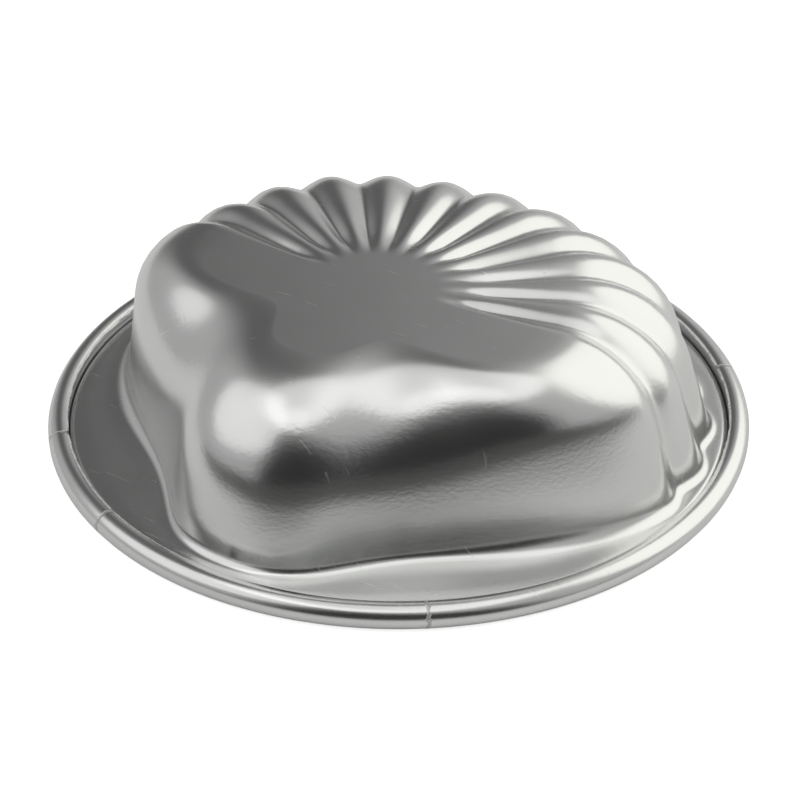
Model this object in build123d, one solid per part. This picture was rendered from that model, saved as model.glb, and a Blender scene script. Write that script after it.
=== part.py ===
from build123d import *
import math
import os

# Shell-shaped cake mould, pressed from one aluminium blank, with a wired rim.
# Millimetres and degrees. It lies mouth down, as a mould dries on a table: the rim rests on
# the plane z = 0 and its centre is the origin. The scallop opens towards +Y, its nose is at -Y.

# Rim
RIM_DIAMETER = 80.0
SHEET = 0.5
WIRE_DIAMETER = 1.8
WIRE_CLEARANCE = 0.05
WIRE_JOINT_GAP = 1.2
CURL_BEND = 0.5
CURL_END_ANGLE = 120.0

# Cup
HEIGHT = 20.5
CUP_SIDE_SHIFT = 0.6
HUB_SETBACK = 5.9

# Ribs: lobes parted by grooves that run out from the hub
GROOVES = 12
GROOVE_PITCH = 14.37
GROOVE_DEPTH = 0.95
GROOVE_TOP_DROP = 0.70
RIB_START = 7.5
RIB_FULL = 13.0
GROOVE_ROUND_SHARE = 0.24

# Foot of the cup: angle from +Y, and reach from the cup's centre as a share of its room in the rim
FOOT_STATIONS = (0, 30, 57, 79, 94, 110, 125, 137, 149, 159, 167, 174, 180)
FOOT_SHARES = (0.891, 0.917, 0.978, 0.994, 0.996, 0.950, 0.892, 0.847, 0.846, 0.898, 0.961, 0.991, 0.996)

# Section of the wall: angle from +Y round the hub, shoulder radius, lean and foot radius there
SECTION_STATIONS = (0, 40, 80, 96, 110, 130, 155, 180)
SHOULDER_RADII = (13.5, 13.5, 11.8, 8.5, 7.8, 11.2, 12.5, 12.5)
WALL_LEANS = (16.5, 16.5, 15.5, 10.0, 6.0, 7.5, 8.0, 8.0)
FOOT_RADII = (1.2, 1.2, 1.3, 1.8, 2.2, 1.4, 1.2, 1.2)

# Plain part of the bottom, as shares of the way out to the ribs and to the shoulder
FLAT_FAN_SHARE = 0.92
FLAT_PLAIN_SHARE = 0.90

# How finely the pressed surfaces are drawn
RAY_COUNT = 300
ROWS_FLAT = 10
ROWS_SHOULDER = 9
ROWS_WALL = 5
ROWS_FOOT = 5
STEP_SHARE = 0.001

# Rim sizes worked out from the above
wire_radius = WIRE_DIAMETER / 2
curl_inner = wire_radius + WIRE_CLEARANCE
curl_outer = curl_inner + SHEET
curl_middle = curl_inner + SHEET / 2
rim_radius = RIM_DIAMETER / 2
wire_ring_radius = rim_radius - curl_outer
wire_height = curl_outer
bend_inset = math.sqrt((CURL_BEND + curl_middle) ** 2 - CURL_BEND ** 2)
bend_angle = math.degrees(math.atan2(CURL_BEND, bend_inset))
flange_radius = wire_ring_radius - bend_inset
flange_top = wire_height + SHEET / 2
cup_room = flange_radius - abs(CUP_SIDE_SHIFT)


def smooth(x):
    """Step from 0 to 1 with level ends."""
    x = min(max(x, 0), 1)
    return x * x * (3 - 2 * x)


def periodic_spline(stations, values):
    """Smooth closed curve through values at stations in degrees, by solving for its slopes."""
    n = len(stations)
    gaps = [(stations[(k + 1) % n] - stations[k]) % 360 for k in range(n)]
    rises = [(values[(k + 1) % n] - values[k]) / gaps[k] for k in range(n)]
    slopes = list(rises)
    for _ in range(200):
        for k in range(n):
            before, after = gaps[k - 1], gaps[k]
            pull = 3 * (rises[k - 1] * after + rises[k] * before)
            slopes[k] = (pull - slopes[k - 1] * after - slopes[(k + 1) % n] * before) / (2 * (before + after))

    def value(angle):
        for k in range(n):
            run = (angle - stations[k]) % 360
            if run <= gaps[k]:
                t = run / gaps[k]
                here, there = values[k], values[(k + 1) % n]
                a = slopes[k] * gaps[k] - (there - here)
                b = (there - here) - slopes[(k + 1) % n] * gaps[k]
                return (1 - t) * here + t * there + t * (1 - t) * (a * (1 - t) + b * t)
        return values[0]

    return value


def mirrored_curve(stations, values):
    """The same smooth curve on both sides of the shell's middle line."""
    other_side = tuple(360 - a for a in reversed(stations[1:-1]))
    return periodic_spline(stations + other_side, values + tuple(reversed(values[1:-1])))


foot_share = mirrored_curve(FOOT_STATIONS, FOOT_SHARES)
shoulder_radius = mirrored_curve(SECTION_STATIONS, SHOULDER_RADII)
wall_lean = mirrored_curve(SECTION_STATIONS, WALL_LEANS)
foot_radius = mirrored_curve(SECTION_STATIONS, FOOT_RADII)


def foot_reach(angle):
    """Distance from the hub to the outer edge of the foot, along a ray."""
    side, ahead = math.sin(math.radians(angle)), math.cos(math.radians(angle))
    near, far = 0, 2 * cup_room
    for _ in range(50):
        middle = (near + far) / 2
        x, y = middle * side, middle * ahead - HUB_SETBACK
        edge = cup_room * foot_share(math.degrees(math.atan2(x, y)) % 360)
        if math.hypot(x, y) < edge:
            near = middle
        else:
            far = middle
    return near


def groove_share(angle):
    """1 in the middle of a groove, 0 on a crest and on the plain sides."""
    turn = (angle + 180) % 360 - 180
    last = (GROOVES - 1) / 2 * GROOVE_PITCH
    past = (abs(turn) - last) / (GROOVE_PITCH / 2)
    if past > 0:
        wave = math.sin(math.pi / 2 * min(past, 1))
    else:
        wave = abs(math.sin(math.pi * (turn / GROOVE_PITCH + (GROOVES - 1) / 2)))
    soft = GROOVE_ROUND_SHARE
    crest = (math.hypot(wave, soft) - soft) / (math.hypot(1, soft) - soft)
    return 1 - crest


def plain_share(angle):
    """0 as far as the ribs reach, 1 from two pitches past them."""
    turn = abs((angle + 180) % 360 - 180)
    return smooth((turn - GROOVES / 2 * GROOVE_PITCH) / (2 * GROOVE_PITCH))


def section(angle):
    """Sizes of the cup's profile on one ray from the hub."""
    lean = math.radians(wall_lean(angle))
    shoulder, fillet = shoulder_radius(angle), foot_radius(angle)
    half = (math.pi / 2 - lean) / 2
    foot_end = foot_reach(angle) - GROOVE_DEPTH * groove_share(angle)
    corner = foot_end - fillet * math.tan(half)
    edge = corner - (HEIGHT - flange_top) * math.tan(lean)
    flat_end = edge - shoulder * math.tan(half)
    inside_ribs = FLAT_FAN_SHARE * RIB_START
    flat_start = inside_ribs + (FLAT_PLAIN_SHARE * flat_end - inside_ribs) * plain_share(angle)
    return lean, shoulder, fillet, foot_end, flat_end, flat_start


SECTIONS = {}


def profile(angle, stretch, t):
    """Reach from the hub and height of the outer surface, t from 0 to 1 along a stretch."""
    key = round(angle % 360, 6)
    if key not in SECTIONS:
        SECTIONS[key] = section(angle)
    lean, shoulder, fillet, foot_end, flat_end, flat_start = SECTIONS[key]
    bend = math.pi / 2 - lean
    shoulder_reach = flat_end + shoulder * math.sin(bend)
    shoulder_height = HEIGHT - shoulder * (1 - math.cos(bend))
    foot_start = foot_end - fillet * math.sin(bend)
    foot_height = flange_top + fillet * (1 - math.cos(bend))
    if stretch == "flat":
        reach, height = flat_start + (flat_end - flat_start) * t, HEIGHT
    elif stretch == "shoulder":
        reach = flat_end + shoulder * math.sin(bend * t)
        height = HEIGHT - shoulder * (1 - math.cos(bend * t))
    elif stretch == "wall":
        reach = shoulder_reach + (foot_start - shoulder_reach) * t
        height = shoulder_height + (foot_height - shoulder_height) * t
    else:
        reach = foot_end - fillet * math.sin(bend * (1 - t))
        height = flange_top + fillet * (1 - math.cos(bend * (1 - t)))
    depth = GROOVE_TOP_DROP * smooth((reach - RIB_START) / (RIB_FULL - RIB_START))
    rise = smooth((height - flange_top - fillet) / (HEIGHT - flange_top - fillet))
    return reach, height - depth * rise * groove_share(angle)


def outer_point(angle, stretch, t):
    reach, height = profile(angle, stretch, t)
    x = CUP_SIDE_SHIFT + reach * math.sin(math.radians(angle))
    y = reach * math.cos(math.radians(angle)) - HUB_SETBACK
    return Vector(x, y, height)


def inner_point(angle, stretch, t, level):
    """The outer point moved in by the sheet's thickness, square to the surface."""
    here = outer_point(angle, stretch, t)
    if level:
        return here - Vector(0, 0, SHEET)
    turn = GROOVE_PITCH * STEP_SHARE
    along = outer_point(angle, stretch, min(t + STEP_SHARE, 1)) - outer_point(angle, stretch, max(t - STEP_SHARE, 0))
    across = outer_point(angle + turn, stretch, t) - outer_point(angle - turn, stretch, t)
    square = along.cross(across).normalized()
    if square.Z < 0:
        square = square * -1
    return here - square * SHEET


def profile_rows():
    """Each row as its stretch, its place on it, and whether the sheet lies level there."""
    rows = [("flat", k / ROWS_FLAT, k == 0) for k in range(ROWS_FLAT)]
    rows += [("shoulder", k / ROWS_SHOULDER, False) for k in range(ROWS_SHOULDER)]
    rows += [("wall", k / ROWS_WALL, False) for k in range(ROWS_WALL)]
    rows += [("foot", k / ROWS_FOOT, k == ROWS_FOOT) for k in range(ROWS_FOOT + 1)]
    return rows


def row_wire(points):
    steps = [k / len(points) for k in range(len(points) + 1)]
    return Wire([Edge.make_spline(points, periodic=True, parameters=steps)])


def pressed_surface(inside):
    """Side and level faces of the cup's outer or inner surface, and the wire round its foot."""
    angles = [360 * k / RAY_COUNT for k in range(RAY_COUNT)]
    wires = []
    for stretch, t, level in profile_rows():
        if inside:
            points = [inner_point(a, stretch, t, level) for a in angles]
        else:
            points = [outer_point(a, stretch, t) for a in angles]
        wires.append(row_wire(points))
    body = Solid.make_loft(wires)
    faces = body.faces().sort_by(Axis.Z)
    foot, bottom = faces[0], faces[-1]
    sides = [f for f in body.faces() if f.geom_type != GeomType.PLANE]
    return sides, bottom, foot.outer_wire()


def pressed_cup():
    """The bottom, wall and flange, out to where the flange bends down round the wire."""
    outer_sides, outer_bottom, outer_foot = pressed_surface(False)
    inner_sides, inner_bottom, inner_foot = pressed_surface(True)
    upper = Wire.make_circle(flange_radius, Plane.XY.offset(flange_top))
    lower = Wire.make_circle(flange_radius, Plane.XY.offset(flange_top - SHEET))
    flange_faces = [Face(upper, [outer_foot]), Face(lower, [inner_foot])]
    edge_band = Face.extrude(lower.edge(), Vector(0, 0, SHEET))
    faces = outer_sides + [outer_bottom] + inner_sides + [inner_bottom] + flange_faces + [edge_band]
    return Solid(Shell(faces))


def rim_curl():
    """The flange's edge, bent down, out and over the wire, as a turned section."""
    ring = Vector(wire_ring_radius, 0, wire_height)
    bend = Vector(flange_radius, 0, wire_height - CURL_BEND)

    def on_ring(radius, angle):
        return ring + Vector(math.cos(math.radians(angle)), 0, math.sin(math.radians(angle))) * radius

    def on_bend(radius, angle):
        return bend + Vector(math.cos(math.radians(angle)), 0, math.sin(math.radians(angle))) * radius

    start, stop = 180 + bend_angle, 360 + CURL_END_ANGLE
    half_way = (start + stop) / 2
    outside_bend, inside_bend = CURL_BEND + SHEET / 2, CURL_BEND - SHEET / 2
    bend_middle = (90 + bend_angle) / 2
    lines = [
        Edge.make_three_point_arc(on_bend(outside_bend, 90), on_bend(outside_bend, bend_middle),
                                  on_bend(outside_bend, bend_angle)),
        Edge.make_three_point_arc(on_ring(curl_inner, start), on_ring(curl_inner, half_way),
                                  on_ring(curl_inner, stop)),
        Edge.make_line(on_ring(curl_inner, stop), on_ring(curl_outer, stop)),
        Edge.make_three_point_arc(on_ring(curl_outer, stop), on_ring(curl_outer, half_way),
                                  on_ring(curl_outer, start)),
        Edge.make_three_point_arc(on_bend(inside_bend, bend_angle), on_bend(inside_bend, bend_middle),
                                  on_bend(inside_bend, 90)),
        Edge.make_line(on_bend(inside_bend, 90), on_bend(outside_bend, 90)),
    ]
    return revolve(Face(Wire(lines)), Axis.Z, 360)


def pressed_shell():
    return pressed_cup() + rim_curl()


def rim_wire():
    """Hoop of round wire, with a small gap where its ends butt, at the nose."""
    gap_angle = math.degrees(WIRE_JOINT_GAP / wire_ring_radius)
    middle = Plane(origin=(wire_ring_radius, 0, wire_height), x_dir=(1, 0, 0), z_dir=(0, 1, 0))
    hoop = revolve(middle * Circle(wire_radius), Axis.Z, 360 - gap_angle)
    return Rot(0, 0, gap_angle / 2 - 90) * hoop


def main():
    os.makedirs("parts", exist_ok=True)
    pieces = {"pressed_shell": pressed_shell(), "rim_wire": rim_wire()}
    for name, piece in pieces.items():
        print(name, len(piece.solids()), "solid", round(piece.volume, 1), "mm3", piece.is_valid)
        export_step(piece, "parts/" + name + ".step")


main()
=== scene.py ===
"""Shell cake mould: one pressed aluminium sheet, curled round a hoop of wire.

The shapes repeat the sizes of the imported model, drawn finer, so every piece lies where its
solid is. Metres and radians. The mould lies mouth down, its rim on z = 0, the ribs towards +Y.
"""

import math

import bmesh
import bpy
from bpy.props import FloatProperty, FloatVectorProperty, IntProperty, PointerProperty
from mathutils import Matrix, Vector, noise


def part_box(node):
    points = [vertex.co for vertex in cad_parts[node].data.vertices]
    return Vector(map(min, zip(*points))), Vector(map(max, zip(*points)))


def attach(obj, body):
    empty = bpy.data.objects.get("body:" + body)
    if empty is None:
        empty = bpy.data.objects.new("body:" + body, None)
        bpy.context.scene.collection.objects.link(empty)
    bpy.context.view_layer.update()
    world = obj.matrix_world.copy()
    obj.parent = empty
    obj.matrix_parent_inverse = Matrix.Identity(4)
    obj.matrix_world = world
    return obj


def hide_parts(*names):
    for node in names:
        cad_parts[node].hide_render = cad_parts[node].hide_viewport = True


bl_info = {
    "name": "Shell Cake Mould",
    "version": (1, 0, 0),
    "blender": (4, 5, 0),
    "location": "View3D > Sidebar > Mould",
    "description": "Builds a pressed shell mould with a wired rim, and its stage",
    "category": "Add Mesh",
}

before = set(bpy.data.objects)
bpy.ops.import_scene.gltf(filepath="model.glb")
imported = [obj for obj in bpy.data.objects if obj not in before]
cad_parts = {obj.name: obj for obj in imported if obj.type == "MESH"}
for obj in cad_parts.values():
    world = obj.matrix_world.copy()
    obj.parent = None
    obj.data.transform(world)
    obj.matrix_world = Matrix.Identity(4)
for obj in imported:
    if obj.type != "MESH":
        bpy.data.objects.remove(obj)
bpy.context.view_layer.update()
SHELL_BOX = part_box("pressed_shell")

# Foot of the cup: angle from +Y, and reach from the cup's centre as a share of its room in the rim
FOOT_STATIONS = (0, 30, 57, 79, 94, 110, 125, 137, 149, 159, 167, 174, 180)
FOOT_SHARES = (0.891, 0.917, 0.978, 0.994, 0.996, 0.950, 0.892, 0.847, 0.846, 0.898, 0.961, 0.991, 0.996)

# Section of the wall: angle from +Y round the hub, shoulder radius, lean and foot radius there
SECTION_STATIONS = (0, 40, 80, 96, 110, 130, 155, 180)
SHOULDER_RADII = (0.0135, 0.0135, 0.0118, 0.0085, 0.0078, 0.0112, 0.0125, 0.0125)
WALL_LEANS = (16.5, 16.5, 15.5, 10.0, 6.0, 7.5, 8.0, 8.0)
FOOT_RADII = (0.0012, 0.0012, 0.0013, 0.0018, 0.0022, 0.0014, 0.0012, 0.0012)

# Where the curl's raw edge puckered and split as it was rolled, in degrees from +Y towards +X, and
# the width of a split in radians
SPLITS = (-158, -133, 49, 144)
SPLIT_WIDTH = 0.008

# Waves of the raw edge: how close they come, layer of the noise, share of the wander
EDGE_WAVES = ((9, 0.3, 0.9), (70, 1.7, 1.1))

# Rounds in which a closed curve's slopes settle, and halvings in which a foot is found
SLOPE_ROUNDS = 200
FOOT_HALVINGS = 40

# Rows of faces on each stretch of the sheet, and the power that crowds the flat's rows to the hub
FLAT_ROWS = 8
FLAT_CROWDING = 1.4
SHOULDER_ROWS = 10
WALL_ROWS = 7
FOOT_ROWS = 5
FLANGE_ROWS = 3
CURL_ROWS = 20

# Pitches in which the fan gives way to the plain side
PLAIN_PITCHES = 2

# Start of the flat's rows: a share of the ribs' start in the fan, of the flat's end on the plain side
FAN_START_SHARE = 0.92
PLAIN_START_SHARE = 0.9

# Reach of the ring round the hub, as a share of the flat's first row
HUB_RING_SHARE = 0.8

# Share of the curl's rows that turn down from the flange
BEND_SHARE = 0.15

# The curl is drawn this much under size, to stay inside its solid's box
HAIR = 0.00001

# Facets of the wire, across and along, and the angles from which edges look sharp
WIRE_SIDES = 20
WIRE_STEPS = 240
SHEET_SHARP = math.radians(38)
WIRE_SHARP = math.radians(50)


class ShellSizes(bpy.types.PropertyGroup):
    """Sizes of the pressed sheet."""

    rim_diameter: FloatProperty(
        name="Rim diameter", description="Across the rolled rim",
        default=round(SHELL_BOX[1][0] - SHELL_BOX[0][0], 5), unit="LENGTH")
    sheet: FloatProperty(
        name="Sheet", description="Thickness of the aluminium", default=0.0005, unit="LENGTH")
    height: FloatProperty(
        name="Height", description="From the table to the flat bottom",
        default=0.0205, unit="LENGTH")
    side_shift: FloatProperty(
        name="Side shift", description="How far the cup sits off the rim's centre",
        default=0.0006, unit="LENGTH")
    hub_setback: FloatProperty(
        name="Hub setback", description="How far behind the rim's centre the ribs meet",
        default=0.0059, unit="LENGTH")
    grooves: IntProperty(name="Grooves", description="Grooves in the fan", default=12)
    groove_pitch: FloatProperty(
        name="Groove pitch", description="Turn from groove to groove",
        default=math.radians(14.37), subtype="ANGLE")
    groove_depth: FloatProperty(
        name="Groove depth", description="Depth of the grooves in the wall",
        default=0.00095, unit="LENGTH")
    groove_top_drop: FloatProperty(
        name="Groove top drop", description="Depth of the grooves in the bottom",
        default=0.0007, unit="LENGTH")
    rib_start: FloatProperty(
        name="Rib start", description="Where the ribs begin, from the hub",
        default=0.0075, unit="LENGTH")
    rib_full: FloatProperty(
        name="Rib full", description="Where the ribs reach their depth, from the hub",
        default=0.013, unit="LENGTH")
    groove_round: FloatProperty(
        name="Groove rounding", description="Softness of the grooves' floors", default=0.24)
    points_around: IntProperty(
        name="Points around", description="Points of each ring of the sheet", default=900)


class RimSizes(bpy.types.PropertyGroup):
    """Sizes of the rolled rim and its wire."""

    wire_diameter: FloatProperty(
        name="Wire", description="Thickness of the hoop's wire", default=0.0018, unit="LENGTH")
    wire_clearance: FloatProperty(
        name="Wire clearance", description="Between the wire and the sheet round it",
        default=0.00005, unit="LENGTH")
    wire_gap: FloatProperty(
        name="Wire gap", description="Between the two ends of the hoop",
        default=0.0012, unit="LENGTH")
    curl_bend: FloatProperty(
        name="Bend", description="Radius in which the flange turns down to the curl",
        default=0.0005, unit="LENGTH")
    curl_end: FloatProperty(
        name="Curl end", description="How far up the inner side the curl comes round",
        default=math.radians(131), subtype="ANGLE")
    edge_wander: FloatProperty(
        name="Edge wander", description="How unevenly the raw edge ends",
        default=math.radians(5), subtype="ANGLE")
    split_notch: FloatProperty(
        name="Split notch", description="How far the raw edge falls back where it split",
        default=math.radians(22), subtype="ANGLE")


class MetalLook(bpy.types.PropertyGroup):
    """Colours and finish of the metals."""

    aluminium: FloatVectorProperty(
        name="Aluminium", description="Colour of the sheet", subtype="COLOR", size=3,
        default=(0.80, 0.805, 0.795), min=0, max=1)
    satin: FloatProperty(
        name="Satin", description="Roughness of the sheet", default=0.24, min=0, max=1)
    peel: FloatProperty(
        name="Peel", description="Strength of the orange peel where the sheet was stretched",
        default=0.9, min=0, max=1)
    marks: FloatVectorProperty(
        name="Marks", description="Colour of the cut edge, specks and hairlines", subtype="COLOR",
        size=3, default=(0.95, 0.95, 0.93), min=0, max=1)
    steel: FloatVectorProperty(
        name="Steel", description="Colour of the wire", subtype="COLOR", size=3,
        default=(0.56, 0.57, 0.58), min=0, max=1)


class StageLook(bpy.types.PropertyGroup):
    """Floor, surroundings and lamps."""

    floor: FloatVectorProperty(
        name="Floor", description="Colour of the floor", subtype="COLOR", size=3,
        default=(0.86, 0.86, 0.86), min=0, max=1)
    floor_lift: FloatProperty(
        name="Floor lift", description="White added to the floor where the camera sees it",
        default=0.75, min=0)
    floor_mirrored: FloatProperty(
        name="Floor in the metal", description="White added to the floor as the metal mirrors it",
        default=0.03, min=0)
    surroundings: FloatProperty(
        name="Surroundings", description="Brightness of the room behind the mould",
        default=0.09, min=0)
    dark_side: FloatProperty(
        name="Dark side", description="Brightness of the room on the camera's side",
        default=0.025, min=0)
    right_glow: FloatProperty(
        name="Right glow", description="Brightness added on the right of the room",
        default=0.35, min=0)
    left_glow: FloatProperty(
        name="Left glow", description="Brightness added on the left of the room",
        default=0.32, min=0)


def smooth(x):
    """Step from 0 to 1 with level ends."""
    x = min(max(x, 0), 1)
    return x * x * (3 - 2 * x)


def closed_curve(stations, values):
    """Smooth closed curve through values at stations in degrees, by solving for its slopes."""
    n = len(stations)
    gaps = [(stations[(k + 1) % n] - stations[k]) % 360 for k in range(n)]
    rises = [(values[(k + 1) % n] - values[k]) / gaps[k] for k in range(n)]
    slopes = list(rises)
    for _ in range(SLOPE_ROUNDS):
        for k in range(n):
            before, after = gaps[k - 1], gaps[k]
            pull = 3 * (rises[k - 1] * after + rises[k] * before)
            held = slopes[k - 1] * after + slopes[(k + 1) % n] * before
            slopes[k] = (pull - held) / (2 * (before + after))

    def value(angle):
        for k in range(n):
            run = (angle - stations[k]) % 360
            if run <= gaps[k]:
                t = run / gaps[k]
                here, there = values[k], values[(k + 1) % n]
                a = slopes[k] * gaps[k] - (there - here)
                b = (there - here) - slopes[(k + 1) % n] * gaps[k]
                return (1 - t) * here + t * there + t * (1 - t) * (a * (1 - t) + b * t)
        return values[0]

    return value


def mirrored_curve(stations, values):
    """The same smooth curve on both sides of the shell's middle line."""
    other_side = tuple(360 - a for a in reversed(stations[1:-1]))
    return closed_curve(stations + other_side, values + tuple(reversed(values[1:-1])))


class Pressing:
    """The shape that the tools press into the sheet, ray by ray from the hub."""

    def __init__(self, shell, rim):
        self.shell, self.rim = shell, rim
        self.curl_inner = rim.wire_diameter / 2 + rim.wire_clearance
        self.curl_outer = self.curl_inner + shell.sheet
        self.curl_middle = self.curl_inner + shell.sheet / 2
        self.ring_radius = shell.rim_diameter / 2 - self.curl_outer
        self.ring_height = self.curl_outer
        reach = rim.curl_bend + self.curl_middle
        self.bend_inset = math.sqrt(reach ** 2 - rim.curl_bend ** 2)
        self.bend_angle = math.atan2(rim.curl_bend, self.bend_inset)
        self.flange_radius = self.ring_radius - self.bend_inset
        self.flange_top = self.ring_height + shell.sheet / 2
        self.cup_room = self.flange_radius - abs(shell.side_shift)
        self.foot_share = mirrored_curve(FOOT_STATIONS, FOOT_SHARES)
        self.shoulder_radius = mirrored_curve(SECTION_STATIONS, SHOULDER_RADII)
        self.wall_lean = mirrored_curve(SECTION_STATIONS, WALL_LEANS)
        self.foot_radius = mirrored_curve(SECTION_STATIONS, FOOT_RADII)
        self.rays = {}

    def foot_reach(self, angle):
        """Distance from the hub to the outer edge of the foot, along a ray."""
        near, far = 0, 2 * self.cup_room
        for _ in range(FOOT_HALVINGS):
            middle = (near + far) / 2
            x = middle * math.sin(angle)
            y = middle * math.cos(angle) - self.shell.hub_setback
            share = self.foot_share(math.degrees(math.atan2(x, y)) % 360)
            if math.hypot(x, y) < self.cup_room * share:
                near = middle
            else:
                far = middle
        return near

    def turn(self, angle):
        return (angle + math.pi) % math.tau - math.pi

    def groove_share(self, angle):
        """1 in the middle of a groove, 0 on a crest and on the plain sides."""
        pitch, turn = self.shell.groove_pitch, self.turn(angle)
        last = (self.shell.grooves - 1) / 2
        past = 2 * (abs(turn) / pitch - last)
        if past > 0:
            wave = math.sin(math.pi / 2 * min(past, 1))
        else:
            wave = abs(math.sin(math.pi * (turn / pitch + last)))
        soft = self.shell.groove_round
        return 1 - (math.hypot(wave, soft) - soft) / (math.hypot(1, soft) - soft)

    def ray(self, angle):
        """Lean, shoulder and foot radius, foot, end and start of the flat part, on one ray."""
        key = round(angle % math.tau, 7)
        if key in self.rays:
            return self.rays[key]
        shell = self.shell
        turn = abs(self.turn(angle))
        last = shell.grooves / 2 * shell.groove_pitch
        plain = smooth((turn - last) / (PLAIN_PITCHES * shell.groove_pitch))
        degrees = math.degrees(angle) % 360
        lean = math.radians(self.wall_lean(degrees))
        shoulder, fillet = self.shoulder_radius(degrees), self.foot_radius(degrees)
        half = (math.pi / 2 - lean) / 2
        foot = self.foot_reach(angle) - shell.groove_depth * self.groove_share(angle)
        corner = foot - fillet * math.tan(half)
        edge = corner - (shell.height - self.flange_top) * math.tan(lean)
        flat_end = edge - shoulder * math.tan(half)
        inside = FAN_START_SHARE * shell.rib_start
        flat_start = inside + (PLAIN_START_SHARE * flat_end - inside) * plain
        self.rays[key] = lean, shoulder, fillet, foot, flat_end, flat_start
        return self.rays[key]

    def cup_point(self, angle, stretch, t):
        """Point of the outer side on a ray, t from 0 to 1 along flat, shoulder, wall or foot."""
        shell = self.shell
        lean, shoulder, fillet, foot, flat_end, flat_start = self.ray(angle)
        bend = math.pi / 2 - lean
        shoulder_end = flat_end + shoulder * math.sin(bend)
        shoulder_height = shell.height - shoulder * (1 - math.cos(bend))
        foot_start = foot - fillet * math.sin(bend)
        foot_height = self.flange_top + fillet * (1 - math.cos(bend))
        if stretch == "flat":
            reach, height = flat_start + (flat_end - flat_start) * t, shell.height
        elif stretch == "shoulder":
            reach = flat_end + shoulder * math.sin(bend * t)
            height = shell.height - shoulder * (1 - math.cos(bend * t))
        elif stretch == "wall":
            reach = shoulder_end + (foot_start - shoulder_end) * t
            height = shoulder_height + (foot_height - shoulder_height) * t
        else:
            reach = foot - fillet * math.sin(bend * (1 - t))
            height = self.flange_top + fillet * (1 - math.cos(bend * (1 - t)))
        depth = smooth((reach - shell.rib_start) / (shell.rib_full - shell.rib_start))
        low = self.flange_top + fillet
        rise = smooth((height - low) / (shell.height - low))
        height -= shell.groove_top_drop * depth * rise * self.groove_share(angle)
        return self.from_hub(angle, reach, height)

    def from_hub(self, angle, reach, height):
        x = self.shell.side_shift + reach * math.sin(angle)
        y = reach * math.cos(angle) - self.shell.hub_setback
        return Vector((x, y, height))

    def flange_point(self, angle, t):
        """From the foot out to the circle where the flange turns down."""
        start = self.cup_point(angle, "foot", 1)
        out = Vector((math.sin(angle), math.cos(angle)))
        here = start.xy.dot(out)
        there = -here + math.sqrt(here ** 2 + self.flange_radius ** 2 - start.xy.length_squared)
        return Vector((start.x + out.x * there * t, start.y + out.y * there * t, self.flange_top))

    def curl_section(self, share, wander):
        """Radius and height of the curl's outer side, share 0 at the flange to 1 at the raw edge."""
        bend, sheet = self.rim.curl_bend, self.shell.sheet
        down = math.pi / 2 - self.bend_angle
        if share < BEND_SHARE:
            turn = math.pi / 2 - down * share / BEND_SHARE
            size = bend + sheet / 2
            middle = (self.flange_radius, self.ring_height - bend)
        else:
            start, stop = math.pi + self.bend_angle, math.tau + self.rim.curl_end + wander
            turn = start + (stop - start) * (share - BEND_SHARE) / (1 - BEND_SHARE)
            size = self.curl_inner - HAIR
            middle = (self.ring_radius, self.ring_height)
        return middle[0] + size * math.cos(turn), middle[1] + size * math.sin(turn)


def cup_rows():
    """Rows of the sheet from the flat part outwards, as stretch and place on it."""
    rows = [("flat", (k / FLAT_ROWS) ** FLAT_CROWDING) for k in range(FLAT_ROWS)]
    rows += [("shoulder", k / SHOULDER_ROWS) for k in range(SHOULDER_ROWS)]
    rows += [("wall", k / WALL_ROWS) for k in range(WALL_ROWS)]
    rows += [("foot", k / FOOT_ROWS) for k in range(FOOT_ROWS + 1)]
    rows += [("flange", k / FLANGE_ROWS) for k in range(1, FLANGE_ROWS + 1)]
    return rows


def curl_wander(angle, rim):
    """How far the raw edge ends past or short of its place at this turn."""
    wander = 0
    for waves, layer, share in EDGE_WAVES:
        place = Vector((math.cos(angle) * waves, math.sin(angle) * waves, layer))
        wander += share * noise.noise(place)
    return rim.edge_wander * wander - rim.split_notch * split_share(angle)


def split_share(angle):
    """1 in the middle of a pucker of the curl, 0 away from it."""
    best = 0
    for turn in SPLITS:
        off = (angle - math.radians(turn) + math.pi) % math.tau - math.pi
        best = max(best, math.exp(-(off / SPLIT_WIDTH) ** 2))
    return best


def sharpen(bm, limit):
    """Smooth shading, with sharp edges where two faces meet at more than the limit."""
    for face in bm.faces:
        face.smooth = True
    for edge in bm.edges:
        if len(edge.link_faces) == 2 and edge.calc_face_angle(0) > limit:
            edge.smooth = False


def finished(bm, name, node, material):
    """Turns the bmesh into a piece that stands for its solid."""
    mesh = bpy.data.meshes.new(name)
    bm.to_mesh(mesh)
    bm.free()
    piece = bpy.data.objects.new(name, mesh)
    bpy.context.scene.collection.objects.link(piece)
    mesh.materials.append(material)
    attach(piece, "root")
    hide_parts(node)


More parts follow.
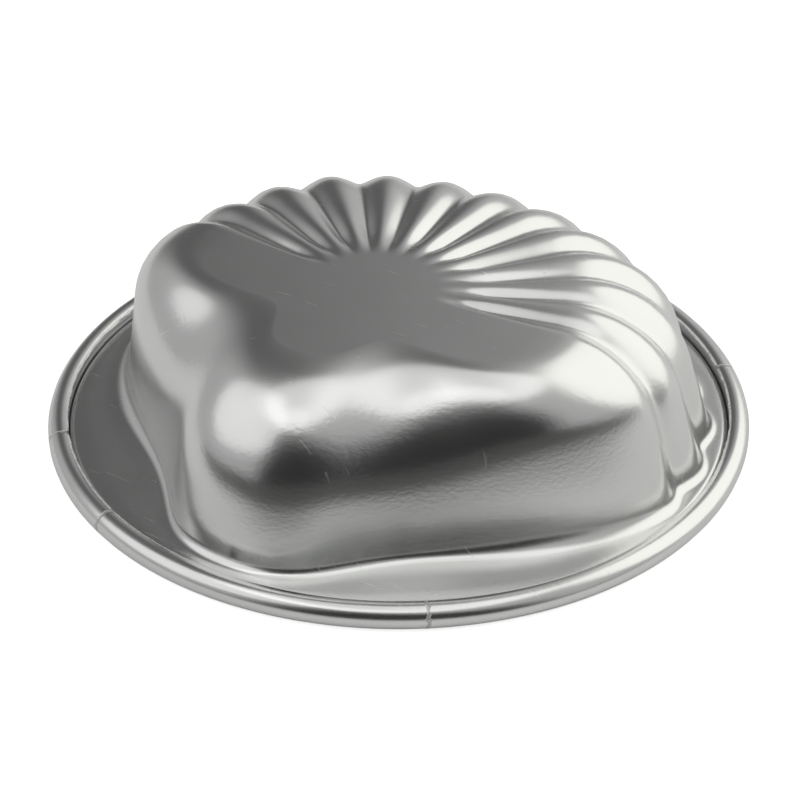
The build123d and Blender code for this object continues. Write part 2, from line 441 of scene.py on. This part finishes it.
class Nodes:
    """Short calls that lay out one material's nodes."""

    def __init__(self, tree):
        self.tree = tree

    def add(self, kind, **settings):
        node = self.tree.nodes.new(kind)
        for key, value in settings.items():
            if key in node.inputs:
                self.set(node.inputs[key], value)
            else:
                setattr(node, key, value)
        return node

    def set(self, socket, value):
        if isinstance(value, bpy.types.NodeSocket):
            self.tree.links.new(value, socket)
        else:
            socket.default_value = value

    def math(self, operation, a, b=0.0, c=0.0):
        node = self.tree.nodes.new("ShaderNodeMath")
        node.operation = operation
        for socket, value in zip(node.inputs, (a, b, c)):
            self.set(socket, value)
        return node.outputs[0]

    def dot(self, place, way):
        """How far a place lies along a way."""
        node = self.add("ShaderNodeVectorMath", operation="DOT_PRODUCT")
        self.set(node.inputs[0], place)
        node.inputs[1].default_value = way
        return node.outputs["Value"]

    def length(self, vector):
        node = self.add("ShaderNodeVectorMath", operation="LENGTH")
        self.set(node.inputs[0], vector)
        return node.outputs["Value"]

    def mix(self, share, first, second):
        """Colour between two others, each a socket or three numbers."""
        node = self.add("ShaderNodeMix", data_type="RGBA")
        self.set(node.inputs["Factor"], share)
        for key, colour in (("A", first), ("B", second)):
            if isinstance(colour, bpy.types.NodeSocket):
                self.set(node.inputs[key], colour)
            else:
                node.inputs[key].default_value = (*colour, 1)
        return node.outputs["Result"]

    def between(self, value, start, end):
        """Soft step from 0 at start to 1 at end."""
        node = self.tree.nodes.new("ShaderNodeMapRange")
        node.interpolation_type = "SMOOTHSTEP"
        self.set(node.inputs["Value"], value)
        self.set(node.inputs["From Min"], start)
        self.set(node.inputs["From Max"], end)
        return node.outputs[0]


# Where a pleat fades out and is full: off its line, and out from the middle of the mould
PLEAT_LINE = (0.00024, 0.00008)
PLEAT_REACH = (0.0372, 0.0376)

# How far the orange peel bends a pleat's line, over the peel's whole range
PLEAT_WOBBLE = 0.0009

# Where the cut edge fades out and is full: turn off the curl's end, distance from the curl's
# middle, and value of the grain
EDGE_TURN = (0.26, 0.19)
EDGE_DISTANCE = (0.00165, 0.0015)
EDGE_GRAIN = (0.33, 0.46)

# Scales of the metal's textures, and the lie of the hairlines
PEEL_SCALE = 1500.0
PEEL_FLATTENED = (1.0, 1.0, 1.6)
GRAIN_SCALE = 5000.0
CLOUD_SCALE = 120.0
SPECK_SCALE = 125.0
HAIRLINE_SCALE = 260.0
HAIRLINE_TURN = (0.0, 0.0, 0.9)
HAIRLINE_STRETCH = (1.0, 14.0, 1.0)

# Where marks fade out and are full: distance from a speck, chance that a speck shows, hairline
SPECK_SIZE = (0.017, 0.012)
SPECK_CHANCE = (0.5, 0.52)
HAIRLINE_SIZE = (0.82, 0.85)
HAIRLINE_SHARE = 0.3

# Heights between which the orange peel comes in from the flat bottom, and from the flange
PEEL_UNDER_FLAT = (0.0202, 0.0170)
PEEL_OVER_FLANGE = (0.0016, 0.0040)

# Clouds in the sheet: shade of the darkest, and roughness that they add
CLOUD_SHADE = 0.92
CLOUD_ROUGHNESS = 0.06

# Pleats: how far their painted shade covers the sheet's colour, how dark it is, and how bare they lie
SPLIT_PAINTED_SHADE_COVER = 0.75
SPLIT_PAINTED_SHADE_TONE = 0.6
PLEAT_BARENESS = 0.8

# Bare metal loses this much of its mirroring, and marks are this much rougher
BARE_LOSS = -0.7
MARK_ROUGHNESS = 0.35

# The relief: peel that shows all over, share of the grain, the pleats and the marks, and its depth
PEEL_ALL_OVER = 0.12
GRAIN_RELIEF = 0.12
PLEAT_RELIEF = -4.0
MARK_RELIEF = 0.5
RELIEF_DEPTH = 0.000013

# Clouds in the wire: scale, shade of the darkest, roughness that they add, and roughness at least
STEEL_CLOUD_SCALE = 700.0
STEEL_CLOUD_SHADE = 0.8
STEEL_CLOUD_ROUGHNESS = 0.15
STEEL_ROUGHNESS = 0.25


def pleats(n, place, wobble):
    """Mask of the pleats and splits across the top of the curl, for relief and painted shade."""
    mask = 0.0
    for turn in SPLITS:
        a = math.radians(turn)
        across = n.dot(place, (math.cos(a), -math.sin(a), 0))
        along = n.dot(place, (math.sin(a), math.cos(a), 0))
        off = n.math("ABSOLUTE", n.math("ADD", across, wobble))
        line = n.between(off, *PLEAT_LINE)
        mask = n.math("MAXIMUM", mask, n.math("MULTIPLY", line, n.between(along, *PLEAT_REACH)))
    return mask


def raw_edge(n, parts, grain, press):
    """Mask of the sheet's cut edge at the end of the curl, broken up by the grain."""
    flat = n.add("ShaderNodeCombineXYZ", X=parts["X"], Y=parts["Y"])
    inward = n.math("SUBTRACT", n.length(flat.outputs[0]), press.ring_radius)
    upward = n.math("SUBTRACT", parts["Z"], press.ring_height)
    off = n.math("SUBTRACT", n.math("ARCTAN2", upward, inward), press.rim.curl_end)
    near = n.between(n.math("ABSOLUTE", off), *EDGE_TURN)
    offset = n.add("ShaderNodeCombineXYZ", X=inward, Y=upward)
    near = n.math("MULTIPLY", near, n.between(n.length(offset.outputs[0]), *EDGE_DISTANCE))
    return n.math("MULTIPLY", near, n.between(grain, *EDGE_GRAIN))


def shaded(colour, share):
    return [c * share for c in colour]


def aluminium(look, press):
    """Satin aluminium: fine grain, orange peel where it was stretched, specks and hairlines."""
    material = bpy.data.materials.new("satin_aluminium")
    material.use_nodes = True
    n = Nodes(material.node_tree)
    shader = material.node_tree.nodes["Principled BSDF"]
    place = n.add("ShaderNodeTexCoord").outputs["Object"]
    layers = n.add("ShaderNodeMapping", Vector=place, Scale=PEEL_FLATTENED)
    peel = n.add("ShaderNodeTexNoise", Vector=layers.outputs[0], Scale=PEEL_SCALE, Detail=2.0)
    grain = n.add("ShaderNodeTexNoise", Vector=place, Scale=GRAIN_SCALE, Detail=1.0)
    cloud = n.add("ShaderNodeTexNoise", Vector=place, Scale=CLOUD_SCALE, Detail=3.0)
    cell = n.add("ShaderNodeTexVoronoi", Vector=place, Scale=SPECK_SCALE)
    lie = n.add(
        "ShaderNodeMapping", Vector=place, Rotation=HAIRLINE_TURN, Scale=HAIRLINE_STRETCH)
    streak = n.add(
        "ShaderNodeTexNoise", Vector=lie.outputs[0], Scale=HAIRLINE_SCALE, Detail=0.0)
    parts = n.add("ShaderNodeSeparateXYZ", Vector=place).outputs

    chosen = n.add("ShaderNodeSeparateColor", Color=cell.outputs["Color"])
    speck = n.between(cell.outputs["Distance"], *SPECK_SIZE)
    speck = n.math("MULTIPLY", speck, n.between(chosen.outputs["Red"], *SPECK_CHANCE))
    hairline = n.math("MULTIPLY", n.between(streak.outputs[0], *HAIRLINE_SIZE), HAIRLINE_SHARE)
    wobble = n.math("MULTIPLY_ADD", peel.outputs[0], PLEAT_WOBBLE, -PLEAT_WOBBLE / 2)
    pleat = pleats(n, place, wobble)
    bare = n.math("MAXIMUM", speck, raw_edge(n, parts, grain.outputs[0], press))
    marks = n.math("MAXIMUM", bare, hairline)

    clouded = n.mix(cloud.outputs[0], shaded(look.aluminium, CLOUD_SHADE), look.aluminium)
    marked = n.mix(marks, clouded, look.marks)
    # Painted shade in the splits darkens the sheet's colour here; the pleats' relief comes from the bump
    # below
    painted_shade_share = n.math("MULTIPLY", pleat, SPLIT_PAINTED_SHADE_COVER)
    with_painted_split_shade = n.mix(painted_shade_share, marked, shaded(look.aluminium, SPLIT_PAINTED_SHADE_TONE))
    n.set(shader.inputs["Base Color"], with_painted_split_shade)

    torn = n.math("MAXIMUM", bare, n.math("MULTIPLY", pleat, PLEAT_BARENESS))
    n.set(shader.inputs["Metallic"], n.math("MULTIPLY_ADD", torn, BARE_LOSS, 1.0))
    least = look.satin - CLOUD_ROUGHNESS / 2
    rough = n.math("MULTIPLY_ADD", cloud.outputs[0], CLOUD_ROUGHNESS, least)
    n.set(shader.inputs["Roughness"], n.math("MULTIPLY_ADD", marks, MARK_ROUGHNESS, rough))

    below = n.between(parts["Z"], *PEEL_UNDER_FLAT)
    stretched = n.math("MULTIPLY", below, n.between(parts["Z"], *PEEL_OVER_FLANGE))
    shown = n.math("MULTIPLY_ADD", stretched, look.peel, PEEL_ALL_OVER)
    relief = n.math("MULTIPLY", peel.outputs[0], shown)
    relief = n.math("MULTIPLY_ADD", grain.outputs[0], GRAIN_RELIEF, relief)
    relief = n.math("MULTIPLY_ADD", pleat, PLEAT_RELIEF, relief)
    relief = n.math("MULTIPLY_ADD", marks, MARK_RELIEF, relief)
    bump = n.add("ShaderNodeBump", Strength=1.0, Distance=RELIEF_DEPTH, Height=relief)
    n.set(shader.inputs["Normal"], bump.outputs[0])
    return material


def steel(look):
    """Drawn steel wire, with small clouds of lighter and darker metal."""
    material = bpy.data.materials.new("drawn_steel")
    material.use_nodes = True
    n = Nodes(material.node_tree)
    shader = material.node_tree.nodes["Principled BSDF"]
    place = n.add("ShaderNodeTexCoord").outputs["Object"]
    shader.inputs["Metallic"].default_value = 1.0
    cloud = n.add("ShaderNodeTexNoise", Vector=place, Scale=STEEL_CLOUD_SCALE, Detail=3.0)
    tone = n.mix(cloud.outputs[0], shaded(look.steel, STEEL_CLOUD_SHADE), look.steel)
    n.set(shader.inputs["Base Color"], tone)
    rough = n.math("MULTIPLY_ADD", cloud.outputs[0], STEEL_CLOUD_ROUGHNESS, STEEL_ROUGHNESS)
    n.set(shader.inputs["Roughness"], rough)
    return material


class MOULD_OT_press_shell(bpy.types.Operator):
    """Presses the sheet: cup, ribs, flange and curled rim in one piece"""

    bl_idname = "mould.press_shell"
    bl_label = "Press the shell"

    def execute(self, context):
        shell, rim = context.scene.mould_shell, context.scene.mould_rim
        press = Pressing(shell, rim)
        bm = bmesh.new()
        bmesh.ops.create_circle(
            bm, cap_ends=True, cap_tris=True, segments=shell.points_around, radius=shell.rib_start)
        ring = [e for e in bm.edges if len(e.link_faces) == 1]
        hub = [v for v in bm.verts if v.co.length < shell.rib_start / 2][0]
        hub.co = press.from_hub(0, 0, shell.height)
        angles = {}
        for v in bm.verts:
            if v is not hub:
                angles[v] = math.atan2(v.co.x, v.co.y)
                v.co = hub.co.lerp(press.cup_point(angles[v], "flat", 0), HUB_RING_SHARE)
        for stretch, t in cup_rows():
            ring, angles = self.next_row(bm, ring, angles)
            for v, angle in angles.items():
                if stretch == "flange":
                    v.co = press.flange_point(angle, t)
                else:
                    v.co = press.cup_point(angle, stretch, t)
        turns = {v: math.atan2(v.co.x, v.co.y) for v in angles}
        for k in range(1, CURL_ROWS + 1):
            ring, turns = self.next_row(bm, ring, turns)
            share = k / CURL_ROWS
            for v, turn in turns.items():
                radius, height = press.curl_section(share, curl_wander(turn, rim))
                v.co = Vector((radius * math.sin(turn), radius * math.cos(turn), height))
        bmesh.ops.recalc_face_normals(bm, faces=bm.faces[:])
        top = [f for f in bm.faces if hub in f.verts][0]
        if top.normal.z < 0:
            bmesh.ops.reverse_faces(bm, faces=bm.faces[:])
        bmesh.ops.solidify(bm, geom=bm.faces[:], thickness=shell.sheet)
        sharpen(bm, SHEET_SHARP)
        material = aluminium(context.scene.mould_metal, press)
        finished(bm, "shell", "pressed_shell", material)
        return {"FINISHED"}

    def next_row(self, bm, ring, angles):
        """Extrudes the outermost ring, and passes each point's turn on to its copy."""
        made = bmesh.ops.extrude_edge_only(bm, edges=ring)["geom"]
        fresh = {g for g in made if isinstance(g, bmesh.types.BMVert)}
        passed = {}
        for point in fresh:
            for edge in point.link_edges:
                source = edge.other_vert(point)
                if source not in fresh:
                    passed[point] = angles[source]
        outer = [g for g in made if isinstance(g, bmesh.types.BMEdge) and set(g.verts) <= fresh]
        return outer, passed


class MOULD_OT_bend_wire(bpy.types.Operator):
    """Bends the hoop of wire that the rim is curled round"""

    bl_idname = "mould.bend_wire"
    bl_label = "Bend the wire"

    def execute(self, context):
        shell, rim = context.scene.mould_shell, context.scene.mould_rim
        press = Pressing(shell, rim)
        gap = rim.wire_gap / press.ring_radius
        bm = bmesh.new()
        lay = Matrix.Translation((press.ring_radius, 0, press.ring_height))
        lay = lay @ Matrix.Rotation(math.pi / 2, 4, "X")
        made = bmesh.ops.create_circle(
            bm, cap_ends=True, segments=WIRE_SIDES, radius=rim.wire_diameter / 2, matrix=lay)
        first = made["verts"][0].link_faces[0]
        bmesh.ops.rotate(
            bm, verts=bm.verts[:], cent=(0, 0, 0),
            matrix=Matrix.Rotation(gap / 2 - math.pi / 2, 3, "Z"))
        bmesh.ops.spin(
            bm, geom=[first, *first.edges, *first.verts], cent=(0, 0, 0), axis=(0, 0, 1),
            angle=math.tau - gap, steps=WIRE_STEPS, use_merge=False, use_duplicate=False)
        bmesh.ops.recalc_face_normals(bm, faces=bm.faces[:])
        sharpen(bm, WIRE_SHARP)
        material = steel(context.scene.mould_metal)
        finished(bm, "wire", "rim_wire", material)
        return {"FINISHED"}


class MOULD_OT_set_stage(bpy.types.Operator):
    """Lays the pale floor and sets the lamps, the surroundings and the camera"""

    bl_idname = "mould.set_stage"
    bl_label = "Set the stage"

    def execute(self, context):
        self.floor(context.scene.mould_stage)
        self.surroundings(context)
        self.lamps()
        self.camera(context)
        context.scene.view_settings.view_transform = "Standard"
        return {"FINISHED"}

    def floor(self, stage):
        bm = bmesh.new()
        bmesh.ops.create_grid(bm, x_segments=2, y_segments=2, size=FLOOR_HALF_WIDTH)
        mesh = bpy.data.meshes.new("floor")
        bm.to_mesh(mesh)
        bm.free()
        plane = bpy.data.objects.new("floor", mesh)
        bpy.context.scene.collection.objects.link(plane)
        material = bpy.data.materials.new("pale_floor")
        material.use_nodes = True
        n = Nodes(material.node_tree)
        shader = material.node_tree.nodes["Principled BSDF"]
        shader.inputs["Roughness"].default_value = 0.9
        shader.inputs["Specular IOR Level"].default_value = 0
        shader.inputs["Emission Color"].default_value = (1, 1, 1, 1)
        path = n.add("ShaderNodeLightPath")
        mirrored = n.math("ADD", path.outputs["Is Glossy Ray"], path.outputs["Is Transmission Ray"])
        place = n.add("ShaderNodeTexCoord").outputs["Object"]
        aside = n.math("ABSOLUTE", n.dot(place, CAMERA_RIGHT))
        reach = n.math("MULTIPLY_ADD", aside, FLOOR_SHADE_BEND, n.dot(place, CAMERA_BACK))
        shade = n.between(reach, *FLOOR_SHADE_REACH)
        dark = n.math("MULTIPLY", path.outputs["Is Glossy Ray"], shade)
        tone = n.mix(dark, stage.floor, shaded(stage.floor, FLOOR_SHADE_TONE))
        n.set(shader.inputs["Base Color"], tone)
        light = n.math("MULTIPLY", n.math("SUBTRACT", mirrored, dark), stage.floor_mirrored)
        lift = n.math("MULTIPLY_ADD", path.outputs["Is Camera Ray"], stage.floor_lift, light)
        n.set(shader.inputs["Emission Strength"], lift)
        mesh.materials.append(material)

    def surroundings(self, context):
        world = bpy.data.worlds.new("studio")
        context.scene.world = world
        world.use_nodes = True
        n = Nodes(world.node_tree)
        back = world.node_tree.nodes["Background"]
        back.inputs["Color"].default_value = (1, 1, 1, 1)
        stage = context.scene.mould_stage
        way = n.add("ShaderNodeTexCoord").outputs["Generated"]
        aside = n.dot(way, CAMERA_RIGHT)
        left = n.math("MULTIPLY_ADD", n.between(aside, *LEFT_GLOW), stage.left_glow, stage.surroundings)
        glow = n.math("MULTIPLY_ADD", n.between(aside, *RIGHT_GLOW), stage.right_glow, left)
        beyond = n.between(n.dot(way, CAMERA_BACK), *DARK_SIDE)
        studio = n.math("MULTIPLY_ADD", glow, beyond, stage.dark_side)
        path = n.add("ShaderNodeLightPath")
        plain = n.math("MAXIMUM", path.outputs["Is Camera Ray"], studio)
        n.set(back.inputs["Strength"], plain)

    def lamps(self):
        for name, turn, rise, distance, width, height, strength, warmth in LAMPS:
            data = bpy.data.lights.new(name, "AREA")
            data.color = (1, 1, 1 - warmth)
            data.shape, data.size, data.size_y = "ELLIPSE", width, height
            data.energy = LAMP_WATTS * math.pi / 4 * width * height * strength
            lamp = bpy.data.objects.new(name, data)
            azimuth, lift = math.radians(turn) + CAMERA_TURN, math.radians(rise)
            level = math.cos(lift)
            out = Vector((math.sin(azimuth) * level, math.cos(azimuth) * level, math.sin(lift)))
            lamp.location = out * distance
            lamp.rotation_euler = (-out).to_track_quat("-Z", "Y").to_euler()
            bpy.context.scene.collection.objects.link(lamp)

    def camera(self, context):
        data = bpy.data.cameras.new("camera")
        data.lens, data.sensor_width = CAMERA_LENS, CAMERA_SENSOR
        camera = bpy.data.objects.new("camera", data)
        camera.location = CAMERA_PLACE
        toward = Vector(CAMERA_AIM) - Vector(CAMERA_PLACE)
        camera.rotation_euler = toward.to_track_quat("-Z", "Y").to_euler()
        context.scene.collection.objects.link(camera)
        context.scene.camera = camera


CAMERA_PLACE = (0.11677, -0.18932, 0.14823)
CAMERA_AIM = (-0.00157, 0.00283, 0)
CAMERA_LENS = 104.3
CAMERA_SENSOR = 36

# The camera's turn from +Y, and the level ways to its right and back towards it
CAMERA_TURN = math.atan2(CAMERA_AIM[0] - CAMERA_PLACE[0], CAMERA_AIM[1] - CAMERA_PLACE[1])
CAMERA_RIGHT = (math.cos(CAMERA_TURN), -math.sin(CAMERA_TURN), 0)
CAMERA_BACK = (-math.sin(CAMERA_TURN), -math.cos(CAMERA_TURN), 0)

# The metal mirrors the floor darker on the camera's side: distances where that begins and is
# full, how far it bends round the mould, and how dark it gets
FLOOR_SHADE_REACH = (0.042, 0.064)
FLOOR_SHADE_BEND = 0.17
FLOOR_SHADE_TONE = 0.12
FLOOR_HALF_WIDTH = 3

# Where the room's glows begin and are full, as the sine of the turn to the camera's right
RIGHT_GLOW = (-0.16, 0.28)
LEFT_GLOW = (-0.3, -0.68)

# Where the camera's side of the room is dark and no longer dark, along the way back to the camera
DARK_SIDE = (0.86, 0.62)

# Watts for each square metre of a lamp that looks just white
LAMP_WATTS = math.pi

# Name, turn to the right of where the camera looks, rise, distance, width, height, strength, warmth
LAMPS = (
    ("right_softbox", 66, 32, 1.0, 1.5, 1.35, 0.74, 0.07),
    ("overhead_softbox", -165, 80, 1.0, 1.1, 1.1, 0.66, 0.02),
    ("left_softbox", -104, 44, 1.0, 1.25, 1.05, 0.5, 0),
    ("nose_softbox", -162, 62, 1.0, 0.45, 0.4, 0.35, 0),
)


class MOULD_PT_panel(bpy.types.Panel):
    """Lists the mould's sizes and the calls that make its pieces"""

    bl_idname = "MOULD_PT_panel"
    bl_label = "Shell cake mould"
    bl_space_type = "VIEW_3D"
    bl_region_type = "UI"
    bl_category = "Mould"

    def draw(self, context):
        scene = context.scene
        for group in (scene.mould_shell, scene.mould_rim, scene.mould_metal, scene.mould_stage):
            box = self.layout.box()
            for key in group.bl_rna.properties.keys():
                if key not in ("rna_type", "name"):
                    box.prop(group, key)
        for operator in OPERATORS:
            self.layout.operator(operator.bl_idname)


GROUPS = {
    "mould_shell": ShellSizes,
    "mould_rim": RimSizes,
    "mould_metal": MetalLook,
    "mould_stage": StageLook,
}
OPERATORS = (MOULD_OT_press_shell, MOULD_OT_bend_wire, MOULD_OT_set_stage)


def register():
    for cls in (*GROUPS.values(), *OPERATORS, MOULD_PT_panel):
        bpy.utils.register_class(cls)
    for key, group in GROUPS.items():
        setattr(bpy.types.Scene, key, PointerProperty(type=group))


def unregister():
    for key in GROUPS:
        delattr(bpy.types.Scene, key)
    for cls in reversed((*GROUPS.values(), *OPERATORS, MOULD_PT_panel)):
        bpy.utils.unregister_class(cls)


def main():
    register()
    bpy.ops.mould.press_shell()
    bpy.ops.mould.bend_wire()
    bpy.ops.mould.set_stage()


if __name__ == "__main__":
    main()
